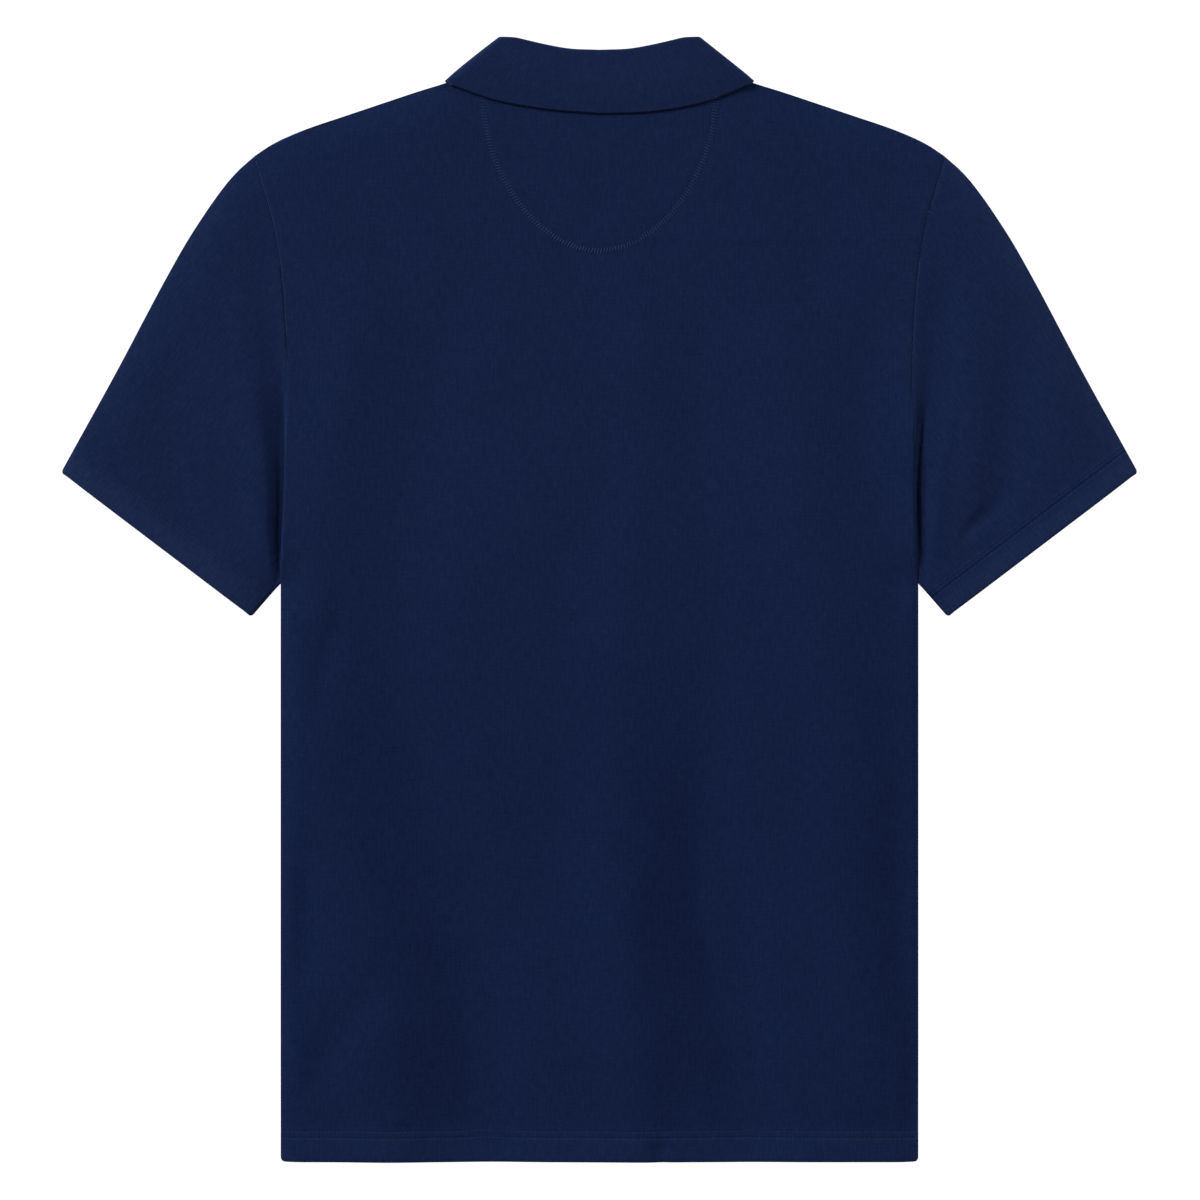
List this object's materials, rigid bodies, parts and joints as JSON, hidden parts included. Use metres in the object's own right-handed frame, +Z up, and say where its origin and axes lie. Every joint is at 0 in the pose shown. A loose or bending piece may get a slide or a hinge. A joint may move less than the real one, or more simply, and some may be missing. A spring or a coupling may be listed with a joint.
{
  "type": "polo shirt",
  "caption": "Plain short-sleeved polo shirt in navy jersey, laid flat and face down with its collar folded and its back up.",
  "frame": {"origin": "on the surface that the shirt lies on, under the middle of its outline", "axes": "+Y from the hem to the collar, +X to the wearer's right, +Z up, out of the back of the shirt"},
  "size_m": [0.7432, 0.7767, 0.0097],
  "materials": {
    "navy_jersey": "matt fine-gauge cotton jersey, lightly heathered",
    "navy_button": "dyed-to-match polyester"
  },
  "bodies": {
    "root": {"back_panel": "navy_jersey", "front_panel": "navy_jersey", "sleeve_left": "navy_jersey", "sleeve_right": "navy_jersey", "collar": "navy_jersey", "neck_patch": "navy_jersey", "placket_over": "navy_jersey", "placket_under": "navy_jersey", "button_upper": "navy_button", "button_lower": "navy_button"}
  },
  "joints": []
}
